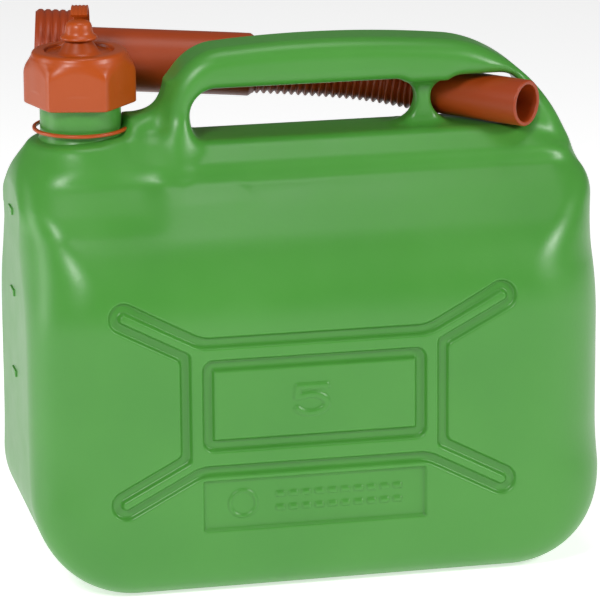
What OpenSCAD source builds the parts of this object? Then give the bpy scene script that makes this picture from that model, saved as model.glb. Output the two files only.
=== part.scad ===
// Five-litre plastic fuel can with a screw cap, a tether and a stowed pouring spout.
// Millimetres. X runs along the can, Y from front to back, Z up from the surface it stands on.

/* [Tank] */
// Width of the can
body_w = 265; // [250:1:280]
// Depth of the can, front to back
body_d = 132; // [128:1:140]
// Thickness of the moulded wall
wall = 2; // [1.5:0.1:3]
// Radius of the bottom corners seen from the front
foot_r = 46; // [30:1:50]
// Radius of the upright edges seen from above
edge_r = 40; // [34:1:44]
// Rounding of the long bottom edges
sole_r = 18; // [12:1:24]
// Height of the flat top on which the neck and the handle stand
saddle_z = 198.5; // [196:0.5:200]
// Height at which the front and back start to slope inwards
shoulder_z = 158; // [150:1:162]
// Height of the lip between the slope and the steep bevel
lip_z = 188.5; // [186:0.5:190]
// Distance of the lip from the middle plane
lip_y = 26; // [24:1:30]
// Height of the raised ribs on the front
rib_h = 0.9; // [0.5:0.1:1.5]

/* [Handle] */
// Depth of the handle, front to back
grip_d = 31; // [28:1:33]
// Height of the underside of the grip
grip_z = 219.5; // [218:0.5:220]
// Highest point of the handle
top_z = 241.5; // [240:0.5:244]
// Left end of the finger opening
hand_x0 = -52; // [-54:1:-50]
// Right end of the finger opening
hand_x1 = 54; // [51:1:55]
// Left end of the spout opening
slot_x0 = 61.5; // [60:0.5:63]
// Right end of the spout opening
slot_x1 = 105; // [103:1:106]
// Height of the top of the spout opening
slot_z = 222; // [221.5:0.5:223]

/* [Neck and cap] */
// Distance of the neck from the middle of the can
neck_x = -100; // [-102:1:-98]
// Outer radius of the neck
neck_r = 18.3; // [18:0.1:19]
// Radius of the neck's bore
mouth_r = 16; // [15:0.1:16.2]
// Height of the neck's rim
rim_z = 234.5; // [233:0.5:235]
// Pitch of the thread
pitch = 5; // [4:0.5:6]
// Radius of the thread's crest
crest_r = 19.8; // [19.5:0.1:19.9]
// Distance across the corners of the cap, halved
cap_r = 25.6; // [25.4:0.1:26]
// Distance across the flats of the cap, halved
flat_r = 22.3; // [22.2:0.1:22.6]
// Height of the cap's lower edge
cap_z = 216.3; // [216:0.1:218]
// Height of the cap's crown rim
crown_z = 240.5; // [240:0.5:241.5]
// Angle of the cap's first flat
cap_angle = 18; // [0:1:59]

/* [Tether] */
// Width of the strap
strap_w = 7.5; // [6:0.5:9]
// Thickness of the strap
strap_t = 1.5; // [1:0.1:1.6]
// Direction in which the strap leaves the ring
strap_angle = 78; // [76:1:80]
// Distance of the strap's upright run from the neck's axis
strap_r = 27.2; // [27.1:0.1:27.4]

/* [Spout] */
// Outer radius of the barrel
barrel_r = 14.5; // [13:0.1:15]
// Outer radius of the collar
collar_r = 22; // [21.8:0.1:22.5]
// Length of the collar
collar_l = 23; // [22:1:24]
// Outer radius of the tip
tip_r = 10.6; // [10.3:0.1:10.7]
// Wall of the tip
tip_wall = 2.1; // [1.5:0.1:2.5]
// Length of the tip
tip_l = 47; // [44:1:49]
// Length of one corrugation
corrugation = 3.3; // [3:0.1:3.6]
// Depth of one corrugation
corrugation_h = 1.6; // [1:0.1:2]

/* [Hidden] */
$fn = 96;
eps = 0.01;
green = [0.30, 0.60, 0.26];
orange = [0.80, 0.29, 0.10];
red_orange = [0.70, 0.24, 0.13];
black = [0.10, 0.10, 0.10];

// Cap and neck fit
seal_t = 1.8;
ceiling_z = rim_z + 0.2 + seal_t;
bore_r = crest_r + 0.5;
knob_r = 4.6;
base_r = neck_r + 4.5;
knob_z = crown_z + 10.3;
ring_z = 204.2;

// Stations of the spout: [start point, yaw, pitch, length] of each straight stretch
collar_at = [-101, 53, 225.5];
barrel_end = [-12, 39, 220.5];
barrel_dir = barrel_end - collar_at;
barrel_yaw = atan2(barrel_dir[1], barrel_dir[0]);
barrel_pitch = atan2(barrel_dir[2], norm([barrel_dir[0], barrel_dir[1]]));
turns = [[-11.5, -5, 32], [-14, -7, 22], [-23, -10, 20], [-36, -7, 14]];
tip_yaw = -48;
tip_rise = 0;
function heading(yaw, rise) = [cos(rise) * cos(yaw), cos(rise) * sin(yaw), sin(rise)];
function station(i) =
    i == 0 ? barrel_end : station(i - 1) + turns[i - 1][2] * heading(turns[i - 1][0], turns[i - 1][1]);
// Room left at each end of a bellows stretch so that the joints can straighten
gaps = [0.8, 0.9, 1.4, 1.8, 1.8];
crests = [13, 12.6, 12.1, 11.6, 11];

function arc(cx, cy, r, a0, a1, n) =
    [for (i = [0:n]) [cx + r * cos(a0 + (a1 - a0) * i / n), cy + r * sin(a0 + (a1 - a0) * i / n)]];

// Stands a shape drawn in X and Z upright, centred on the middle plane
module upright(depth) {
    translate([0, depth / 2, 0]) rotate([90, 0, 0]) linear_extrude(depth) children();
}

// Turns a shape that lies along Z into the direction given by yaw and rise
module aim(at, yaw, rise) {
    translate(at) rotate([0, 90 - rise, yaw]) children();
}

// A round disc with rounded rims, along Z, from -h / 2 to h / 2
module puck(r, h, soft) {
    rotate_extrude($fn = 64) polygon(concat(
        [[0, -h / 2]],
        arc(r - soft, soft - h / 2, soft, 270, 360, 5),
        arc(r - soft, h / 2 - soft, soft, 0, 90, 5),
        [[0, h / 2]]
    ));
}

// The tank up to the lip, drawn "t" inside the real surface
module shell_block(t) {
    foot_x = body_w / 2 - foot_r;
    edge_x = body_w / 2 - edge_r;
    edge_y = body_d / 2 - edge_r;
    hull() {
        for (s = [-1, 1]) translate([s * foot_x, 0, foot_r])
            rotate([90, 0, 0]) puck(foot_r - t, body_d - 2 * t, sole_r - t);
        for (i = [-1, 1], j = [-1, 1]) translate([i * edge_x, j * edge_y, shoulder_z - 22])
            puck(edge_r - t, 50, 24);
        for (s = [-1, 1]) translate([s * (body_w / 2 - 18), 0, lip_z - 18])
            rotate([90, 0, 0]) puck(18 - t, 2 * (lip_y - t), 6);
    }
}

// The ridge that carries the handle
module ridge_block(t) {
    hull() for (x = [neck_x + 8, body_w / 2 - lip_y - 8]) translate([x, 0, 0]) {
        translate([0, 0, lip_z - 12]) cylinder(r = lip_y - t, h = 12 - t, $fn = 64);
        translate([0, 0, saddle_z - t - 1]) cylinder(r = grip_d / 2 - t, h = 1, $fn = 64);
    }
}

// The round shoulder that carries the neck
module neck_block(t) {
    hull() {
        translate([neck_x, 0, saddle_z - t - 1]) cylinder(r = base_r - t, h = 1, $fn = 64);
        translate([neck_x + 14, 0, shoulder_z - 12]) cylinder(r = 46 - t, h = 6, $fn = 64);
        translate([16 - body_w / 2, 0, saddle_z - 16]) rotate([90, 0, 0]) puck(16 - t, 36 - 2 * t, 6);
    }
}

module tank_block(t) {
    shell_block(t);
    ridge_block(t);
    neck_block(t);
}

// One arm of the front pattern, a bar with a round end that reaches from a to b
module arm(a, b, w) {
    d = b - a;
    translate(a) rotate(atan2(d[1], d[0]))
        polygon(concat([[0, -w / 2]], arc(norm(d), 0, w / 2, -90, 90, 12), [[0, w / 2]]));
}

// The raised frame on the front: a panel with four arms
module front_pattern() {
    panel = [61, 32];
    mid = [-7, 89];
    reach = [86, 43];
    translate([0, 1 - body_d / 2, 0]) rotate([90, 0, 0]) linear_extrude(rib_h + 1) difference() {
        union() {
            for (i = [-1, 1], j = [-1, 1])
                arm(mid + [i * (panel[0] - 9), j * (panel[1] - 7)], mid + [i * reach[0], j * reach[1]], 13);
            translate(mid - panel) square(2 * panel);
        }
        translate(mid - [50, 20]) square([100, 40]);
    }
}

module tank() {
    color(green) difference() {
        union() {
            tank_block(0);
            front_pattern();
            for (i = [0:2]) translate([-body_w / 2 - 0.8, -5, 91 + 38 * i]) cube([2, 10, 3]);
        }
        tank_block(wall);
        translate([neck_x, 0, saddle_z - 20]) cylinder(r = mouth_r, h = 30);
    }
}

module neck() {
    color(green) translate([neck_x, 0, 0]) rotate_extrude() polygon(concat(
        [[mouth_r, saddle_z], [base_r, saddle_z]],
        arc(base_r, saddle_z + 5, 4.5, 270, 180, 6),
        [for (i = [0:2], p = [[neck_r, 0], [crest_r, 1.2], [crest_r, 2], [neck_r, 3.2]])
            [p[0], cap_z + 3.5 + pitch * i + p[1]]],
        [[neck_r, rim_z], [mouth_r, rim_z]]
    ));
}

// Outside of the handle, "t" inside the real outline
module handle_outline(t) {
    polygon(concat(
        [[-62 + t, saddle_z]],
        arc(-38, 216.5, 24 - t, 178, 112, 8),
        [for (x = [-42:10:78]) [x, top_z - t - pow(x - 8, 2) / 1100]],
        arc(78, 191.5, 45 - t, 80, 8, 12),
        [[126 - t, saddle_z - 14], [126 - t, saddle_z - 22], [106, saddle_z - 22], [106, saddle_z]]
    ));
}

// An opening with round ends from x0 to x1, up to "top", that widens by "flare" towards the front and the back
module opening(x0, x1, top, flare) {
    r = (top - saddle_z + 1) / 2;
    for (s = [-1, 1]) hull() for (q = [[x0 + r, -1], [x1 - r, 1]]) {
        translate([q[0], 0, top - r]) rotate([90, 0, 0]) cylinder(r = r, h = eps, center = true, $fn = 32);
        translate([q[0] + q[1] * flare, s * grip_d / 2, top - r])
            rotate([90, 0, 0]) cylinder(r = r, h = 1, center = true, $fn = 32);
    }
}

module handle() {
    soft = 7;
    color(green) difference() {
        union() {
            hull() {
                upright(grip_d - 2 * soft) handle_outline(0);
                upright(grip_d) handle_outline(soft);
            }
            upright(12) polygon(concat([[-76, saddle_z]], arc(-77, 222, 16, 275, 345, 6), [[-55, saddle_z]]));
        }
        shell_block(0);
        ridge_block(0);
        opening(hand_x0, hand_x1, grip_z, 3);
        opening(slot_x0, slot_x1, slot_z, 5);
        for (i = [2, 3]) aim(station(i), turns[i][0], turns[i][1])
            translate([0, 0, -2]) cylinder(r = crests[i] + 0.8, h = turns[i][2] + 4);
        translate([neck_x, 0, 0]) cylinder(r = base_r, h = 300);
        for (s = [-1, 1]) translate([(hand_x1 + slot_x0) / 2 - 9, s * 12 - 6, saddle_z + 4]) cube([18, 12, 18]);
    }
}

module cap() {
    color(orange) translate([neck_x, 0, 0]) difference() {
        intersection() {
            rotate_extrude() polygon([
                [0, cap_z], [cap_r, cap_z], [cap_r, crown_z - 9], [cap_r - 3, crown_z - 5], [22, crown_z - 3.6],
                [21.8, crown_z], [15.7, crown_z], [15, crown_z - 1.6], [9.8, crown_z - 1.6],
                [7.2, crown_z + 2.4], [knob_r, crown_z + 4], [knob_r, knob_z], [0, knob_z]
            ]);
            rotate(cap_angle + 30) cylinder(r = flat_r / cos(30), h = 300, $fn = 6);
        }
        translate([0, 0, cap_z - 1]) cylinder(r = bore_r, h = ceiling_z - cap_z + 1);
    }
}

module cap_seal() {
    color(black) translate([neck_x, 0, ceiling_z - seal_t]) difference() {
        cylinder(r = bore_r - 0.4, h = seal_t);
        translate([0, 0, -1]) cylinder(r = mouth_r - 1, h = seal_t + 2);
    }
}

module tether_ring() {
    color(orange) translate([neck_x, 0, ring_z]) difference() {
        cylinder(r = 21.8, h = 1.6);
        translate([0, 0, -1]) cylinder(r = 20, h = 4);
    }
}

// The strap's path drawn in radius and height, then given its width
module tether_strap() {
    arch_r = 15.5;
    arch_z = crown_z + 1.3;
    foot = 3;
    color(orange) translate([neck_x, 0, 0]) rotate([90, 0, strap_angle]) linear_extrude(strap_w, center = true) {
        polygon(concat(
            arc(strap_r - arch_r, arch_z, arch_r - strap_t / 2, 124, 0, 24),
            arc(strap_r - foot, ring_z + 0.8 + foot, foot - strap_t / 2, 360, 270, 6),
            [[21.8, ring_z + 0.8 + strap_t / 2], [21.8, ring_z + 0.8 - strap_t / 2]],
            arc(strap_r - foot, ring_z + 0.8 + foot, foot + strap_t / 2, 270, 360, 6),
            arc(strap_r - arch_r, arch_z, arch_r + strap_t / 2, 0, 124, 24)
        ));
    }
}

module tether_eye() {
    color(orange) translate([neck_x, 0, 0]) rotate_extrude() polygon([
        [0, knob_z + 2.8], [0, knob_z + 0.3], [knob_r + 0.3, knob_z + 0.3], [knob_r + 0.3, crown_z + 4.7],
        [8.3, crown_z + 4.7], [8.3, crown_z + 6.2], [6.4, crown_z + 7], [6, knob_z + 1.2], [4.6, knob_z + 2.8]
    ]);
}

module spout_collar() {
    step = 3.4;
    color(red_orange) aim(collar_at, barrel_yaw, barrel_pitch) translate([0, 0, -collar_l / 2]) difference() {
        rotate_extrude() polygon(concat(
            [[0, 0]],
            [for (i = [0:5], p = [[collar_r - 0.9, 0], [collar_r, 0.9], [collar_r, 2.5]])
                [p[0], p[1] + step * i + 0.8]],
            [[collar_r - 1.5, collar_l], [0, collar_l]]
        ));
        translate([0, 0, -1]) cylinder(r = bore_r, h = collar_l - 2);
        cylinder(r = barrel_r + 0.6, h = collar_l + 1);
    }
}

module spout_seal() {
    color(black) aim(collar_at, barrel_yaw, barrel_pitch) translate([0, 0, collar_l / 2 - 7.3]) difference() {
        cylinder(r = 20, h = 2);
        translate([0, 0, -1]) cylinder(r = barrel_r - 1.6, h = 4);
    }
}

module spout_barrel() {
    l = norm(barrel_dir) - gaps[0];
    flange_z = collar_l / 2 - 5.3;
    color(red_orange) aim(collar_at, barrel_yaw, barrel_pitch) rotate_extrude() polygon([
        [barrel_r - 1.6, flange_z], [20, flange_z], [20, flange_z + 2], [barrel_r, flange_z + 2],
        [barrel_r, l - 3], [barrel_r - 1.2, l], [barrel_r - 3.2, l], [barrel_r - 1.6, l - 3]
    ]);
}

// A corrugated tube along Z, from radius r0 to r1 at the crests
module corrugated(l, r0, r1) {
    n = round(l / corrugation);
    s = l / n;
    color(red_orange) difference() {
        rotate_extrude() polygon(concat(
            [[0, 0]],
            [for (i = [0:n - 1], p = [[-corrugation_h, 0], [0, 0.3], [0, 0.7], [-corrugation_h, 1]])
                [r0 + (r1 - r0) * i / n + p[0], (i + p[1]) * s]],
            [[0, l]]
        ));
        translate([0, 0, -1]) cylinder(r = min(r0, r1) - corrugation_h - 1.2, h = l + 2);
    }
}

module bellows(i) {
    yaw = turns[i][0];
    rise = turns[i][1];
    aim(station(i) + gaps[i] * heading(yaw, rise), yaw, rise)
        corrugated(turns[i][2] - gaps[i] - gaps[i + 1], crests[i], crests[i + 1]);
}

module bellows_1() {
    bellows(0);
}

module bellows_2() {
    bellows(1);
}

module bellows_3() {
    bellows(2);
}

module bellows_4() {
    bellows(3);
}

module spout_tip() {
    color(red_orange) aim(station(4), tip_yaw, tip_rise) difference() {
        translate([0, 0, gaps[4]]) cylinder(r = tip_r, h = tip_l - gaps[4]);
        cylinder(r = tip_r - tip_wall, h = tip_l + 1);
    }
}

tank();
neck();
handle();
cap();
cap_seal();
tether_ring();
tether_strap();
tether_eye();
spout_collar();
spout_seal();
spout_barrel();
bellows_1();
bellows_2();
bellows_3();
bellows_4();
spout_tip();
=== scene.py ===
"""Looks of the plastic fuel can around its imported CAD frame. Lengths are millimetres until a mesh is made."""

import math

import bpy
import bmesh
import numpy as np
from mathutils import Matrix, Vector


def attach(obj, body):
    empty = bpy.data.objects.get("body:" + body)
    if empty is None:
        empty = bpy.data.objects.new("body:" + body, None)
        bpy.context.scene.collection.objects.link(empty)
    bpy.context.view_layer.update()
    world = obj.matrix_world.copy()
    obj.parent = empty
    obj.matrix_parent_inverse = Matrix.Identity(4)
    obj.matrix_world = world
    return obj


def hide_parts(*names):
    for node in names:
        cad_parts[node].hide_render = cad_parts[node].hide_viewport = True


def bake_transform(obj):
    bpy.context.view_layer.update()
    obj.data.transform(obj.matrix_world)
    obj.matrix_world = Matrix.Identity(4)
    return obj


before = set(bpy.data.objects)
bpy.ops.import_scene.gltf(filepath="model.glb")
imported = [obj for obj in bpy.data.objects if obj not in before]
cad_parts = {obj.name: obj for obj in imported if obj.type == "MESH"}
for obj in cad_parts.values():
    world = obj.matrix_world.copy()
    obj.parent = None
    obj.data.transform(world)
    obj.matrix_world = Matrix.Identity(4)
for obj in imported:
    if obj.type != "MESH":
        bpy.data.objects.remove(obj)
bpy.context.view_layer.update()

MM = 0.001
# the neck's axis, its radius, its mouth's, the thread's at its crest, and the thread's pitch
NECK = (-100.0, 0.0)
NECK_R, MOUTH_R, CREST_R, PITCH = 18.3, 16.0, 19.8, 5.0
# heights: the flat the neck stands on, the neck's rim, the cap's lower edge and its top
SADDLE_Z, RIM_Z, CAP_Z, CROWN_Z = 198.5, 234.5, 216.3, 240.5
# heights: the top of the cap's knob and the underside of the tether's loop
KNOB_Z, RING_Z = 250.8, 204.2
BODY_W, BODY_D = 265.0, 132.0
# the shoulder's slope: its normal's parts along |y| and z, and its distance from the origin
SLOPE_Y, SLOPE_Z, SLOPE_AT = 0.6862, 0.7274, 152.47
# the bevels around the top: their normal's parts outward and up
BEVEL_OUT, BEVEL_UP = 0.69, 0.724
# the middle of the front's pattern in x and z
PATTERN = (-7, 89)
COLLAR = np.array([-101.0, 53.0, 225.5])
COLLAR_L = 23.0
# the straight barrel stops short of the first bend, and the straight tip starts beyond the last one
BARREL_SHORT, TIP_START, TIP_L = 15, 9, 47


def heading(yaw, rise):
    """The unit vector that points yaw degrees round from +X and rise degrees up."""
    a, b = math.radians(yaw), math.radians(rise)
    return np.array([math.cos(b) * math.cos(a), math.cos(b) * math.sin(a), math.sin(b)])


# the points where the spout's line bends
STATIONS = [np.array([-12.0, 39.0, 220.5])]
for yaw, rise, length in [(-11.5, -5, 32), (-14, -7, 22), (-23, -10, 20), (-36, -7, 14)]:
    STATIONS.append(STATIONS[-1] + length * heading(yaw, rise))
BARREL_L = np.linalg.norm(STATIONS[0] - COLLAR)
BARREL_DIR = (STATIONS[0] - COLLAR) / BARREL_L
TIP_DIR = heading(-48, 0)
BARREL_R, BARREL_BORE, TIP_R, TIP_BORE = 14.5, 12.7, 10.6, 8.5


# ---------------------------------------------------------------- fields

def soft_min(a, b, k):
    """The lesser of a and b, blended where they differ by less than k."""
    h = np.maximum(k - np.abs(a - b), 0) / k
    return np.minimum(a, b) - h * h * k / 4


def soft_max(a, b, k):
    return -soft_min(-a, -b, k)


def meet(a, b, r):
    """Where both a and b are inside, with the edge between them rounded to radius r."""
    return np.minimum(np.maximum(a, b), -r) + np.hypot(np.maximum(a + r, 0), np.maximum(b + r, 0))


def ramp(a, b, t):
    """Zero up to a, one from b on, and smooth between them."""
    s = np.clip((t - a) / (b - a), 0, 1)
    return s * s * (3 - 2 * s)


def rect(u, v, cu, cv, hu, hv, r):
    """A rectangle with round corners in two coordinates."""
    a, b = np.abs(u - cu) - hu + r, np.abs(v - cv) - hv + r
    return np.minimum(np.maximum(a, b), 0) + np.hypot(np.maximum(a, 0), np.maximum(b, 0)) - r


def bar(u, v, a, b, r):
    """A bar with round ends from a to b in two coordinates."""
    d = np.subtract(b, a)
    t = np.clip(((u - a[0]) * d[0] + (v - a[1]) * d[1]) / (d @ d), 0, 1)
    return np.hypot(u - a[0] - t * d[0], v - a[1] - t * d[1]) - r


def capsule(x, y, z, a, b, r):
    d = b - a
    t = np.clip(((x - a[0]) * d[0] + (y - a[1]) * d[1] + (z - a[2]) * d[2]) / (d @ d), 0, 1)
    return np.sqrt((x - a[0] - t * d[0]) ** 2 + (y - a[1] - t * d[1]) ** 2 + (z - a[2] - t * d[2]) ** 2) - r


def handle_field(x, y, z):
    """The grip with its windows, the waisted post between them, and the web down to the neck."""
    ay = np.abs(y)
    top_x, top_z, arch_r, half_width = 8, 241.5, 550, 15.5
    crown = (z - top_z + (x - top_x) ** 2 / (2 * arch_r)) / np.sqrt(1 + ((x - top_x) / arch_r) ** 2)
    left = -62 - x
    right = 0.978 * (x - 123) + 0.21 * (z - SADDLE_Z)
    outline = np.maximum(np.where(x < 10, meet(left, crown, 24), meet(right, crown, 45)), 180 - z)
    hand = rect(x, z, 1, 206, 53, 15.5, 12)
    slot = rect(x, z, 82.75, 206, 21.25, 16, 13.5)
    between = rect(x, z, 58, 205, 12, 14.5, 3)
    windows = np.minimum(np.minimum(hand, slot), between)
    grip = soft_max(meet(outline, ay - half_width, 8.5), -windows, 6)
    # room for the last two stretches of the stowed spout's corrugations
    for i in (2, 3):
        grip = soft_max(grip, -capsule(x, y, z, STATIONS[i], STATIONS[i + 1], 13.2 - 0.6 * (i - 2)), 3)
    post_x, post_z, waist, flare = 57.8, 210.5, 3.4, 0.05
    side = np.abs(x - post_x) - waist - flare * (z - post_z) ** 2
    post = meet(side / np.sqrt(1 + (2 * flare * (z - post_z)) ** 2), ay - 5, 2.5)
    post = np.maximum(post, np.abs(z - post_z) - 13)
    web_x, web_r = -77, 16
    web = np.maximum(web_r - np.hypot(x - web_x, z - 222), np.maximum(web_x - x, x + 56))
    web = np.maximum(meet(web, ay - 5.5, 2), np.abs(z - 204) - 20)
    return soft_min(soft_min(grip, post, 6), web, 5)


def slope_field(ay, z):
    """Distance above the plane of the shoulder's slope."""
    return SLOPE_Y * ay + SLOPE_Z * z - SLOPE_AT


def bevelled(out, z):
    """A bevel that falls from the saddle's height, where out is zero, to a wall 11 mm further out."""
    return soft_max(out * BEVEL_OUT + (z - SADDLE_Z) * BEVEL_UP, out - 11, 3)


def can_field(p):
    """The can's moulding without its threaded neck: the body, its top, the handle and the neck's bore."""
    x, y, z = p[..., 0], p[..., 1], p[..., 2]
    ay = np.abs(y)
    side = np.abs(x) - BODY_W / 2
    front = np.where(z < 94, meet(side, -z, 46), meet(side, z - 188.5, 22))
    profile = soft_max(ay - BODY_D / 2, slope_field(ay, z), 17)
    # the vertical edges are rounder at the end away from the neck
    far = ramp(-90, 90, x)
    r = 16 + 2 * far + (14 + 8 * far) * ramp(2, 66, z) - (18 + 13 * far) * ramp(140, 188, z)
    shell = meet(front, profile, r)
    sides, ends = bevelled(ay - 15.5, z), bevelled(np.maximum(x - 113, -x - 106), z)
    ridge = soft_max(soft_max(sides, ends, 12), z - SADDLE_Z, 2.5)
    # the cone below the neck leans toward the handle as it widens
    t = np.clip((SADDLE_Z - z) / 30, -0.2, 1.5)
    shoulder = (np.hypot(x - NECK[0] - 9 * t, y) - 22.8 - 13 * t) * 0.92
    shoulder = soft_max(shoulder, z - SADDLE_Z, 2.5)
    corner = meet(rect(x, z, -100, 171, 30.5, 27.5, 17), (ay - 14) * 0.75 - 0.66 * (SADDLE_Z - z), 12)
    flank = meet((np.abs(x + 74) - 22 - 1.2 * (201 - z)) * 0.64, slope_field(ay, z), 4)
    flank = soft_max(flank, z - 205, 6)
    # the top's parts rise out of the plain shell, and fade away into it further down
    reach = shell + 20 - 48 * ramp(150, 196, z)
    body = soft_min(shell, soft_max(ridge, reach, 8), 3)
    body = soft_min(body, soft_max(shoulder, reach, 8), 16)
    body = soft_min(body, soft_max(corner, reach, 8) + 1.5, 11)
    body = soft_min(body, soft_max(flank, reach, 8) + 1.2, 2)
    body = np.maximum(body, np.maximum(side, ay - BODY_D / 2))
    body = soft_min(body, handle_field(x, y, z), 5 + 15 * ramp(-44, -62, x) * ramp(-92, -78, x))
    bore = np.maximum(np.hypot(x - NECK[0], y) - MOUTH_R, 160 - z)
    return np.maximum(body, -bore)


def numeral(u, v):
    """A plain figure five drawn with strokes about its middle."""
    stem_end = (-5.0, 1.2)
    strokes = [((-4.6, 5), (5.4, 5)), ((-4.6, 5), stem_end)]
    bowl = [stem_end]
    for w in np.radians(np.arange(120, -155, -15)):
        bowl.append((5.6 * math.cos(w), -1.8 + 3.6 * math.sin(w)))
    strokes += zip(bowl, bowl[1:])
    d = np.full(np.shape(u), 99.0)
    for a, b in strokes:
        d = np.minimum(d, bar(u, v, a, b, 1.1))
    return d


def relief(x, z):
    """Height of the moulded pattern on the front above the plain wall."""
    u, v = x - PATTERN[0], z - PATTERN[1]
    plate_v = -46.2
    outer = rect(u, v, 0, 0, 61, 32, 3)
    for i in (-1, 1):
        for j in (-1, 1):
            outer = soft_min(outer, bar(u, v, (i * 52, j * 25), (i * 86, j * 43), 6.6), 2)
    panel = rect(u, v, 0, 0.6, 51, 21, 5)
    plate = rect(u, v, 0, plate_v, 51, 11.6, 0.8)
    h = -2.0 * ramp(0.7, -0.7, outer) + 2.6 * ramp(-3.8, -5.2, outer)
    h = np.where(panel < 1.5, 0.6 - 2.6 * ramp(0.7, -0.7, panel) + 2.1 * ramp(-4.1, -5.5, panel), h)
    h = h + 0.75 * ramp(0.4, -0.4, numeral((u + 2) / 1.3, (v - 1) / 1.2)) * (panel < -6)
    h = h - 1.8 * ramp(0.6, -0.6, plate)
    raised = np.abs(np.hypot(u + 33, v - plate_v) - 6) - 0.55
    for k in range(10):
        for row in (-1, 1):
            raised = np.minimum(raised, rect(u, v, -16 + 6 * k, plate_v + 3.2 * row, 2, 1.1, 0.5))
    return h + 0.8 * ramp(0.4, -0.4, raised)


def cap_field(p):
    """The screw cap: a skirt with six flats under a dome, a round groove on top, and the knob inside it."""
    x, y, z = p[..., 0] - NECK[0], p[..., 1] - NECK[1], p[..., 2]
    r = np.hypot(x, y)
    # the angle from the nearest flat's middle; one of the flats faces 18 degrees round from +X
    w = (np.arctan2(y, x) - math.radians(18 + 30)) % (math.pi / 3) - math.pi / 6
    flat = r * np.cos(w) - 22.3
    skirt = soft_max(flat, r - 25.4, 1.2)
    dome = (r - 25.6) * 0.80 + (z - (CROWN_Z - 8.2)) * 0.60
    skirt = soft_max(skirt, dome, 2.0)
    skirt = soft_max(skirt, np.maximum(z - (CROWN_Z - 3.2), CAP_Z - z), 0.8)
    crown = soft_max(r - 21.6, z - CROWN_Z, 2.6)
    crown = np.maximum(crown, CAP_Z + 8 - z)
    body = soft_min(skirt, crown, 1.6)
    groove = soft_max(soft_max(r - 15.6, 6 - r, 0.8), CROWN_Z - 1.8 - z, 0.8)
    body = soft_max(body, -groove, 0.8)
    cone = (r - 9.6 + (z - CROWN_Z + 1.8) * 0.62) * 0.85
    cone = np.maximum(np.maximum(cone, z - CROWN_Z - 4.3), CROWN_Z - 4 - z)
    body = soft_min(body, cone, 1.5)
    body = soft_min(body, soft_max(r - 4.6, np.maximum(z - KNOB_Z, CROWN_Z - z), 1.2), 0.8)
    bore = soft_max(r - 20.3, z - 236.5, 0.8)
    return soft_max(body, -bore, 0.5)


# ---------------------------------------------------------------- meshing

def nets(field, low, high, step):
    """A closed quad mesh of the surface where the field is zero, moved onto that surface."""
    low, high = np.array(low, float), np.array(high, float)
    n = np.ceil((high - low) / step).astype(int) + 1
    axes = [low[i] + step * np.arange(n[i]) for i in range(3)]
    value = field(np.stack(np.meshgrid(*axes, indexing="ij"), -1))
    inside = value < 0
    cells = n - 1
    count = np.zeros(cells.prod())
    total = np.zeros((cells.prod(), 3))
    faces = []
    for axis in range(3):
        first = [slice(None)] * 3
        second = [slice(None)] * 3
        first[axis], second[axis] = slice(None, -1), slice(1, None)
        a, b = value[tuple(first)], value[tuple(second)]
        at = np.argwhere(inside[tuple(first)] != inside[tuple(second)])
        va, vb = a[tuple(at.T)], b[tuple(at.T)]
        point = at.astype(float)
        point[:, axis] += va / (va - vb)
        point = low + step * point
        u, v = (axis + 1) % 3, (axis + 2) % 3
        keep = (at[:, u] > 0) & (at[:, v] > 0) & (at[:, u] < cells[u]) & (at[:, v] < cells[v])
        at, point, out = at[keep], point[keep], va[keep] < 0
        corner = []
        for du, dv in ((-1, -1), (0, -1), (0, 0), (-1, 0)):
            c = at.copy()
            c[:, u] += du
            c[:, v] += dv
            flat = np.ravel_multi_index(tuple(c.T), tuple(cells))
            corner.append(flat)
            count += np.bincount(flat, minlength=len(count))
            for k in range(3):
                total[:, k] += np.bincount(flat, weights=point[:, k], minlength=len(count))
        quad = np.stack(corner, 1)
        quad[~out] = quad[~out][:, ::-1]
        faces.append(quad)
    faces = np.vstack(faces)
    used = np.flatnonzero(count)
    number = np.full(len(count), -1)
    number[used] = np.arange(len(used))
    faces = number[faces]
    points = total[used] / count[used][:, None]
    for _ in range(2):
        points = settle(field, even_out(points, faces), 2)
    return settle(field, points, 2), faces


def even_out(points, faces):
    """Each point moved halfway to the mean of its neighbours."""
    total, count = np.zeros_like(points), np.zeros(len(points))
    for a, b in ((0, 1), (1, 2), (2, 3), (3, 0)):
        for i, j in ((a, b), (b, a)):
            count += np.bincount(faces[:, i], minlength=len(points))
            for k in range(3):
                total[:, k] += np.bincount(faces[:, i], weights=points[faces[:, j], k], minlength=len(points))
    return points + 0.5 * (total / count[:, None] - points)


def slope(field, points, e=0.05):
    """The field's gradient, from differences over e on each side."""
    return np.stack([(field(points + step) - field(points - step)) / (2 * e) for step in e * np.eye(3)], 1)


def settle(field, points, times):
    """The points moved onto the surface where the field is zero."""
    for _ in range(times):
        g = slope(field, points)
        d = np.clip(field(points), -1.5, 1.5)
        points = points - g * (d / np.maximum((g * g).sum(1), 0.3))[:, None]
    return points


def piece(name, points, faces, material, sharp=None):
    """A smooth-shaded object of one material, with edges sharper than the given angle left hard."""
    mesh = bpy.data.meshes.new(name)
    if isinstance(faces, np.ndarray):
        faces = faces.tolist()
    mesh.from_pydata((np.asarray(points) * MM).tolist(), [], faces)
    mesh.validate()
    mesh.polygons.foreach_set("use_smooth", [True] * len(mesh.polygons))
    if sharp:
        mesh.set_sharp_from_angle(angle=math.radians(sharp))
    mesh.materials.append(material)
    o = bpy.data.objects.new(name, mesh)
    bpy.context.scene.collection.objects.link(o)
    return o


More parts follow.
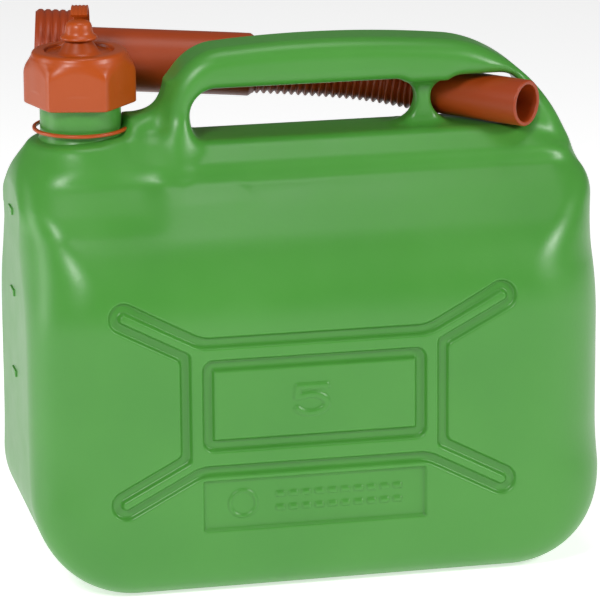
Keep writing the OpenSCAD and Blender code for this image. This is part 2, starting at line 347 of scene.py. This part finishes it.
def lathe(profile, segments, origin=(0, 0, 0), direction=(0, 0, 1)):
    """A closed ring-shaped or solid surface: the profile's (radius, height) points turned about an axis."""
    profile = np.array(profile, float)
    turn = np.array(Vector(direction).to_track_quat("Z", "Y").to_matrix())
    w = np.linspace(0, 2 * math.pi, segments, endpoint=False)
    points, faces = [], []
    on_axis = profile[:, 0] < 1e-6
    rings = []
    for (r, h), axis in zip(profile, on_axis):
        rings.append(len(points))
        if axis:
            points.append((0, 0, h))
        else:
            points.extend(zip(r * np.cos(w), r * np.sin(w), np.full(segments, h)))
    closed = not (on_axis[0] and on_axis[-1])
    last = len(profile) if closed else len(profile) - 1
    for i in range(last):
        j = (i + 1) % len(profile)
        for k in range(segments):
            m = (k + 1) % segments
            a = (rings[i], rings[i]) if on_axis[i] else (rings[i] + k, rings[i] + m)
            b = (rings[j], rings[j]) if on_axis[j] else (rings[j] + k, rings[j] + m)
            loop = [a[0], a[1], b[1], b[0]]
            faces.append([v for q, v in enumerate(loop) if v not in loop[:q]])
    return np.array(points) @ turn.T + np.array(origin), faces


def round_profile(corners, steps=4):
    """A closed profile whose corners, given as (radius, height, rounding), are rounded."""
    out = []
    n = len(corners)
    for i in range(n):
        p = np.array(corners[i][:2], float)
        a = np.array(corners[i - 1][:2], float) - p
        b = np.array(corners[(i + 1) % n][:2], float) - p
        cut = min(corners[i][2], 0.45 * np.linalg.norm(a), 0.45 * np.linalg.norm(b))
        if cut <= 0:
            out.append(tuple(p))
            continue
        a, b = p + cut * a / np.linalg.norm(a), p + cut * b / np.linalg.norm(b)
        for t in np.linspace(0, 1, steps + 1):
            out.append(tuple((1 - t) ** 2 * a + 2 * t * (1 - t) * p + t * t * b))
    return out


def tube(path, outer, inner, segments=72):
    """A closed tube with a wall along the path; outer and inner are the radii at each of its points."""
    path = np.array(path)
    ahead = np.gradient(path, axis=0)
    ahead /= np.linalg.norm(ahead, axis=1)[:, None]
    u = np.cross([0, 0, 1.0], ahead)
    u /= np.linalg.norm(u, axis=1)[:, None]
    v = np.cross(ahead, u)
    w = np.linspace(0, 2 * math.pi, segments, endpoint=False)
    ring = np.cos(w)[None, :, None] * u[:, None, :] + np.sin(w)[None, :, None] * v[:, None, :]
    out = path[:, None, :] + np.asarray(outer)[:, None, None] * ring
    hole = path[:, None, :] + np.asarray(inner)[:, None, None] * ring
    n = len(path)
    points = np.concatenate([out.reshape(-1, 3), hole.reshape(-1, 3)])
    faces = []
    for i in range(n - 1):
        for k in range(segments):
            m = (k + 1) % segments
            a, b, c, d = i * segments + k, i * segments + m, (i + 1) * segments + m, (i + 1) * segments + k
            faces.append((a, b, c, d))
            s = n * segments
            faces.append((s + d, s + c, s + b, s + a))
    s = n * segments
    e = (n - 1) * segments
    for k in range(segments):
        m = (k + 1) % segments
        faces.append((m, k, s + k, s + m))
        faces.append((e + k, e + m, s + e + m, s + e + k))
    return points, faces


# ---------------------------------------------------------------- materials

def plastic(name, base, dark, light, rough, grain, bump, soft=0.0):
    """Moulded plastic: slight mottling of colour, uneven gloss and a fine orange-peel surface."""
    m = bpy.data.materials.new(name)
    m.use_nodes = True
    nodes, links = m.node_tree.nodes, m.node_tree.links
    shader = nodes["Principled BSDF"]
    shader.inputs["IOR"].default_value = 1.5
    shader.inputs["Specular IOR Level"].default_value = 0.45
    shader.inputs["Subsurface Weight"].default_value = soft
    shader.inputs["Subsurface Radius"].default_value = (0.5, 1.0, 0.35) if soft else (1, 0.2, 0.1)
    shader.inputs["Subsurface Scale"].default_value = 0.004
    place = nodes.new("ShaderNodeTexCoord")
    cloud = nodes.new("ShaderNodeTexNoise")
    cloud.inputs["Scale"].default_value = 14
    cloud.inputs["Detail"].default_value = 5
    links.new(place.outputs["Object"], cloud.inputs["Vector"])
    colour = nodes.new("ShaderNodeValToRGB")
    colour.color_ramp.elements[0].position = 0.3
    colour.color_ramp.elements[0].color = (*dark, 1)
    colour.color_ramp.elements[1].position = 0.72
    colour.color_ramp.elements[1].color = (*light, 1)
    middle = colour.color_ramp.elements.new(0.5)
    middle.color = (*base, 1)
    links.new(cloud.outputs["Fac"], colour.inputs["Fac"])
    links.new(colour.outputs["Color"], shader.inputs["Base Color"])
    patch = nodes.new("ShaderNodeTexNoise")
    patch.inputs["Scale"].default_value = 55
    patch.inputs["Detail"].default_value = 3
    links.new(place.outputs["Object"], patch.inputs["Vector"])
    gloss = nodes.new("ShaderNodeMapRange")
    gloss.inputs["To Min"].default_value = rough - 0.05
    gloss.inputs["To Max"].default_value = rough + 0.08
    links.new(patch.outputs["Fac"], gloss.inputs["Value"])
    links.new(gloss.outputs["Result"], shader.inputs["Roughness"])
    peel = nodes.new("ShaderNodeTexNoise")
    peel.inputs["Scale"].default_value = grain
    peel.inputs["Detail"].default_value = 4
    links.new(place.outputs["Object"], peel.inputs["Vector"])
    surface = nodes.new("ShaderNodeBump")
    surface.inputs["Strength"].default_value = bump
    surface.inputs["Distance"].default_value = 0.0004
    links.new(peel.outputs["Fac"], surface.inputs["Height"])
    links.new(surface.outputs["Normal"], shader.inputs["Normal"])
    return m


GREEN = plastic("green_polyethylene", (0.055, 0.243, 0.031), (0.049, 0.229, 0.028), (0.062, 0.259, 0.036),
                0.34, 420, 0.10, soft=0.12)
ORANGE = plastic("orange_polypropylene", (0.345, 0.050, 0.001), (0.315, 0.044, 0.001), (0.380, 0.058, 0.002),
                 0.33, 700, 0.08)
TETHER = plastic("tether_polyethylene", (0.370, 0.054, 0.002), (0.335, 0.047, 0.002), (0.405, 0.062, 0.003),
                 0.36, 700, 0.08)
COLLAR_RED = plastic("collar_polypropylene", (0.300, 0.036, 0.002), (0.270, 0.031, 0.002),
                     (0.335, 0.043, 0.003), 0.38, 700, 0.08)
RED = plastic("spout_polyethylene", (0.290, 0.036, 0.002), (0.260, 0.031, 0.002), (0.325, 0.043, 0.003),
              0.40, 600, 0.10)
RUBBER = plastic("nitrile_rubber", (0.020, 0.020, 0.020), (0.016, 0.016, 0.016), (0.026, 0.026, 0.026),
                 0.62, 900, 0.15)


# ---------------------------------------------------------------- can

def make_can():
    points, faces = nets(can_field, (-136, -69, -3), (136, 69, 245), 1.5)
    o = piece("can_moulding", points, faces, GREEN)
    # the front's pattern is a relief in finer faces
    half_width, low, high = 97, 28, 142
    fine = bmesh.new()
    fine.from_mesh(o.data)
    chosen = []
    for f in fine.faces:
        c = f.calc_center_median() / MM
        if c.y < -63.5 and abs(c.x - PATTERN[0]) < half_width and low < c.z < high:
            chosen.append(f)
    edges = list({e for f in chosen for e in f.edges})
    bmesh.ops.subdivide_edges(fine, edges=edges, cuts=2, use_grid_fill=True)
    fine.to_mesh(o.data)
    fine.free()
    co = np.empty(len(o.data.vertices) * 3)
    o.data.vertices.foreach_get("co", co)
    co = co.reshape(-1, 3) / MM
    near = (co[:, 1] < -60) & (np.abs(co[:, 0] - PATTERN[0]) < half_width + 5)
    near &= (co[:, 2] > low - 4) & (co[:, 2] < high + 4)
    co[near] = settle(can_field, co[near], 2)
    co[near, 1] -= relief(co[near, 0], co[near, 2])
    o.data.vertices.foreach_set("co", (co * MM).ravel())
    o.data.polygons.foreach_set("use_smooth", [True] * len(o.data.polygons))
    o.data.update()
    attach(o, "can")
    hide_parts("tank", "handle")


def make_neck():
    """The threaded neck: one surface over angle and height, with a helical thread."""
    segments, foot, thread_z, edge = 144, SADDLE_Z - 1.5, 219.4, 0.6
    lower, upper = np.linspace(foot, SADDLE_Z + 6, 10), np.linspace(SADDLE_Z + 6.6, RIM_Z - edge, 66)
    heights = np.concatenate([lower, upper])
    w = np.linspace(0, 2 * math.pi, segments, endpoint=False)
    turn, h = np.meshgrid(w, heights)
    fillet = np.clip((SADDLE_Z + 5 - h) / 5, 0, 1)
    r = NECK_R + 4.4 * (1 - np.sqrt(1 - fillet ** 2 * 0.999))
    away = (h - thread_z - PITCH * turn / (2 * math.pi) + PITCH / 2) % PITCH - PITCH / 2
    lead = ramp(218, 220.5, h) * ramp(233.2, 231.5, h)
    r = r + (CREST_R - NECK_R) * lead * ramp(1.7, 0.8, np.abs(away))
    points = [np.stack([NECK[0] + r * np.cos(turn), NECK[1] + r * np.sin(turn), h], -1).reshape(-1, 3)]
    rings = [(NECK_R - 0.5, RIM_Z), (MOUTH_R + 0.5, RIM_Z), (MOUTH_R, RIM_Z - edge), (MOUTH_R, foot)]
    for a, b in rings:
        points.append(np.stack([NECK[0] + a * np.cos(w), NECK[1] + a * np.sin(w), np.full(segments, b)], -1))
    points = np.vstack(points)
    n = len(heights) + len(rings)
    faces = []
    for i in range(n):
        j = (i + 1) % n
        for k in range(segments):
            m = (k + 1) % segments
            faces.append((i * segments + k, i * segments + m, j * segments + m, j * segments + k))
    o = piece("neck_thread", points, faces, GREEN, 50)
    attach(o, "can")
    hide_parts("neck")


def make_marks():
    """Raised level marks on the end of the can, mostly sunk in its wall."""
    lowest, apart, size = 92.5, 38, (1.8, 10, 3)
    for i in range(3):
        b = bmesh.new()
        bmesh.ops.create_cube(b, size=1)
        bmesh.ops.scale(b, vec=size, verts=b.verts)
        bmesh.ops.bevel(b, geom=b.edges[:], offset=0.45, segments=3, profile=0.6, affect="EDGES")
        points = np.array([v.co[:] for v in b.verts]) + (-BODY_W / 2 + 0.15, 0, lowest + apart * i)
        faces = [[v.index for v in f.verts] for f in b.faces]
        b.free()
        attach(piece(f"level_mark_{i + 1}", points, faces, GREEN, 40), "can")


# ---------------------------------------------------------------- cap and tether

def make_cap():
    points, faces = nets(cap_field, (-127, -27, 215), (-73, 27, 252), 0.45)
    o = piece("cap_shell", points, faces, ORANGE, 60)
    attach(o, "cap")
    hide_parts("cap")


def make_tether():
    bore_r, loop_r, loop_top = 20.1, 21.8, RING_Z + 1.6
    loop = [(bore_r, RING_Z, 0.5), (loop_r, RING_Z, 0.7), (loop_r, loop_top, 0.7), (bore_r, loop_top, 0.5)]
    points, faces = lathe(round_profile(loop), 128, (*NECK, 0))
    o = piece("tether_loop", points, faces, TETHER, 60)
    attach(o, "can")
    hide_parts("tether_ring")
    # the cup that snaps over the knob
    dome = [(0.0, 2.8), (3.4, 2.75), (4.6, 2.4), (5.5, 1.5), (6.0, 0.2)]
    skirt = [(6.15, 9), (6.4, 7.6), (6.9, 6.8), (7.9, 6.2), (8.3, 5.7)]
    lip = [(8.3, 5.1), (7.9, 4.75), (5.3, 4.7), (4.95, 5.1)]
    inside = [(4.9, -0.2), (4.6, 0.3), (0.0, 0.3)]
    cup = [(r, KNOB_Z + h) for r, h in dome] + [(r, CROWN_Z + h) for r, h in skirt + lip]
    cup += [(r, KNOB_Z + h) for r, h in inside]
    points, faces = lathe(cup, 64, (*NECK, 0))
    o = piece("tether_cup", points, faces, TETHER, 50)
    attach(o, "tether_end")
    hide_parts("tether_eye")
    # the strap: out of the loop, up behind the cap, over the knob
    strap_r, bend_r, arch_r, facing = 27.2, 3, 15.5, 78
    path = [(21.0, RING_Z + 0.8)]
    for t in np.linspace(0, math.pi / 2, 8):
        path.append((strap_r - bend_r + bend_r * math.sin(t), RING_Z + 0.8 + bend_r - bend_r * math.cos(t)))
    path += [(strap_r, h) for h in np.linspace(RING_Z + 5, CROWN_Z + 0.5, 22)]
    for t in np.radians(np.linspace(0, 122, 34)):
        path.append((strap_r - arch_r + arch_r * math.cos(t), CROWN_Z + 1.2 + arch_r * math.sin(t)))
    path = np.array(path)
    ahead = np.gradient(path, axis=0)
    ahead /= np.linalg.norm(ahead, axis=1)[:, None]
    section = [(-3.75, -0.3), (-3.4, -0.7), (3.4, -0.7), (3.75, -0.3), (3.75, 0.3)]
    section += [(s, 0.75 if k % 2 == 0 else 0.42) for k, s in enumerate(np.linspace(3.4, -3.4, 9))]
    section += [(-3.75, 0.3)]
    outward, across, axis = heading(facing, 0), heading(facing + 90, 0), np.array([*NECK, 0])
    points = []
    for (r, h), (ar, ah) in zip(path, ahead):
        for s, t in section:
            points.append(axis + outward * (r + t * ah) + across * s + np.array([0, 0, h - t * ar]))
    n, k = len(path), len(section)
    faces = []
    for i in range(n - 1):
        for j in range(k):
            m = (j + 1) % k
            faces.append((i * k + j, i * k + m, (i + 1) * k + m, (i + 1) * k + j))
    faces += [tuple(range(k - 1, -1, -1)), tuple(range((n - 1) * k, n * k))]
    o = piece("tether_band", points, faces, TETHER, 35)
    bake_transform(o)
    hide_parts("tether_strap")


# ---------------------------------------------------------------- spout

def make_collar():
    """The collar nut: six ribs outside, an inward lip at the barrel's end, and three low ridges inside."""
    half = COLLAR_L / 2
    corners = [(20.3, -half + 0.4, 0.4), (20.7, -half, 0.3)]
    for i in range(6):
        h = -half + 0.8 + 3.4 * i
        corners += [(21.2, h, 0.3), (22.0, h + 0.9, 0.5), (22.0, h + 2.5, 0.5)]
    corners += [(20.6, half, 0.8), (15.1, half, 0.4), (15.1, half - 3, 0.2), (20.3, half - 3, 0.2)]
    for i in range(3):
        h = half - 6.4 - 4 * i
        corners += [(20.3, h, 0.2), (19.95, h - 0.8, 0.2), (20.3, h - 1.6, 0.2)]
    points, faces = lathe(round_profile(corners, 3), 96, COLLAR, BARREL_DIR)
    o = piece("collar_nut", points, faces, COLLAR_RED, 40)
    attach(o, "collar")
    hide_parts("spout_collar")


def make_spout():
    """The spout: a straight barrel, the corrugated stretch in five blended pieces, and a straight tip."""
    straight = BARREL_L - BARREL_SHORT
    # bodies from the barrel to the tip, and the points where one piece hands over to the next
    hand = [COLLAR + BARREL_DIR * straight]
    hand += [(STATIONS[i] + STATIONS[i + 1]) / 2 for i in range(4)]
    hand += [STATIONS[-1] + TIP_DIR * TIP_START]
    # the tube's line, with its distance from where the corrugations begin
    lines, start = [], -BARREL_SHORT
    for i in range(5):
        a, b, c = hand[i], STATIONS[i], hand[i + 1]
        rough = np.linspace(0, 1, 400)[:, None]
        curve = (1 - rough) ** 2 * a + 2 * rough * (1 - rough) * b + rough ** 2 * c
        run = np.concatenate([[0], np.cumsum(np.linalg.norm(np.diff(curve, axis=0), axis=1))])
        steps = int(run[-1] / 0.33)
        at = np.linspace(0, run[-1], steps + 1)
        lines.append((np.stack([np.interp(at, run, curve[:, k]) for k in range(3)], 1), start + at))
        start += run[-1]
    end = start - TIP_START
    pitch = end / round(end / 3.3)

    def outer(s):
        crest = np.interp(s, [0, end], [13.2, 11.2])
        wave = 0.5 + 0.5 * np.cos(2 * math.pi * (s / pitch - 0.5))
        bellows = crest - 1.6 * (1 - wave ** 0.7)
        smooth = np.where(s < end / 2, BARREL_R - 1.6 * ramp(-3, 0, s), TIP_R)
        return np.where((s > 0) & (s < end), bellows, smooth)

    def inner(s):
        return np.interp(s, [-BARREL_SHORT, 0, end, end + 5], [BARREL_BORE, 10.2, 8.3, TIP_BORE])

    names = ["spout_bend_a", "spout_bend_b", "spout_bend_c", "spout_bend_d", "spout_bend_e"]
    for i, (path, s) in enumerate(lines):
        points, faces = tube(path, outer(s), inner(s))
        o = piece(names[i], points, faces, RED, 60)
        a, b = hand[i] * 0.65 + STATIONS[i] * 0.35, hand[i + 1] * 0.65 + STATIONS[i] * 0.35
        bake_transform(o)
        if i < 4:
            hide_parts(f"bellows_{i + 1}")
    flange, flange_r = COLLAR_L / 2 - 5.3, 20
    corners = [(BARREL_BORE + 0.2, flange, 0.2), (flange_r, flange, 0.4), (flange_r, flange + 2, 0.4)]
    corners += [(BARREL_R, flange + 2, 1.2), (BARREL_R, straight, 0), (BARREL_BORE, straight, 0)]
    points, faces = lathe(round_profile(corners), 72, COLLAR, BARREL_DIR)
    o = piece("spout_tube", points, faces, RED, 40)
    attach(o, "barrel")
    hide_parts("spout_barrel")
    corners = [(TIP_BORE, TIP_START, 0), (TIP_R, TIP_START, 0), (TIP_R, TIP_L, 0.7), (TIP_BORE, TIP_L, 0.7)]
    points, faces = lathe(round_profile(corners), 96, STATIONS[-1], TIP_DIR)
    o = piece("spout_nozzle", points, faces, RED, 40)
    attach(o, "spout_tip")
    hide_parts("spout_tip")


make_can()
make_neck()
make_marks()
make_cap()
make_tether()
make_collar()
make_spout()
for node in ("cap_seal", "spout_seal"):
    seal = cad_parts[node]
    for place in seal.material_slots:
        place.material = RUBBER


# ---------------------------------------------------------------- floor, light, camera

def floor():
    mesh = bpy.data.meshes.new("floor")
    mesh.from_pydata([(-6, -6, 0), (6, -6, 0), (6, 6, 0), (-6, 6, 0)], [], [(0, 1, 2, 3)])
    m = bpy.data.materials.new("pale_floor")
    m.use_nodes = True
    shader = m.node_tree.nodes["Principled BSDF"]
    shader.inputs["Base Color"].default_value = (0.9, 0.9, 0.9, 1)
    shader.inputs["Roughness"].default_value = 0.9
    shader.inputs["Emission Color"].default_value = (1, 1, 1, 1)
    shader.inputs["Emission Strength"].default_value = 0.6
    mesh.materials.append(m)
    o = bpy.data.objects.new("floor", mesh)
    bpy.context.scene.collection.objects.link(o)


def area(name, at, look, size, power):
    light = bpy.data.lights.new(name, "AREA")
    light.shape = "RECTANGLE"
    light.size, light.size_y = size
    light.energy = power
    o = bpy.data.objects.new(name, light)
    o.location = at
    o.rotation_euler = (Vector(look) - Vector(at)).to_track_quat("-Z", "Y").to_euler()
    bpy.context.scene.collection.objects.link(o)


floor()
scene = bpy.context.scene
scene.view_settings.view_transform = "Standard"
world = bpy.data.worlds.new("studio")
world.use_nodes = True
world.node_tree.nodes["Background"].inputs["Color"].default_value = (1, 1, 1, 1)
world.node_tree.nodes["Background"].inputs["Strength"].default_value = 0.15
scene.world = world
middle = (0, 0, 0.12)
area("key_left", (-0.7, -0.9, 0.95), middle, (0.3, 0.3), 10)
area("key_right", (0.9, -0.75, 0.75), middle, (0.3, 0.3), 8)
area("top", (0.05, -0.15, 1.3), middle, (0.6, 0.4), 3)
area("left_strip", (-1.1, 0.15, 0.3), (-0.13, 0, 0.12), (0.3, 0.9), 4)

turn, rise, roll = math.radians(12), math.radians(15.5), math.radians(0.4)
back = Vector((-math.sin(turn) * math.cos(rise), -math.cos(turn) * math.cos(rise), math.sin(rise)))
across = (-back).cross(Vector((0, 0, 1))).normalized()
up = across.cross(-back)
across, up = across * math.cos(roll) - up * math.sin(roll), across * math.sin(roll) + up * math.cos(roll)
lens = bpy.data.cameras.new("camera")
lens.sensor_width = 36
lens.lens = 261
lens.clip_end = 50
camera = bpy.data.objects.new("camera", lens)
aim, distance = Vector((0.0003, 0, 0.1174)), 2.0
position = aim + back * distance
camera.matrix_world = Matrix((
    (across.x, up.x, back.x, position.x), (across.y, up.y, back.y, position.y),
    (across.z, up.z, back.z, position.z), (0, 0, 0, 1)))
scene.collection.objects.link(camera)
scene.camera = camera
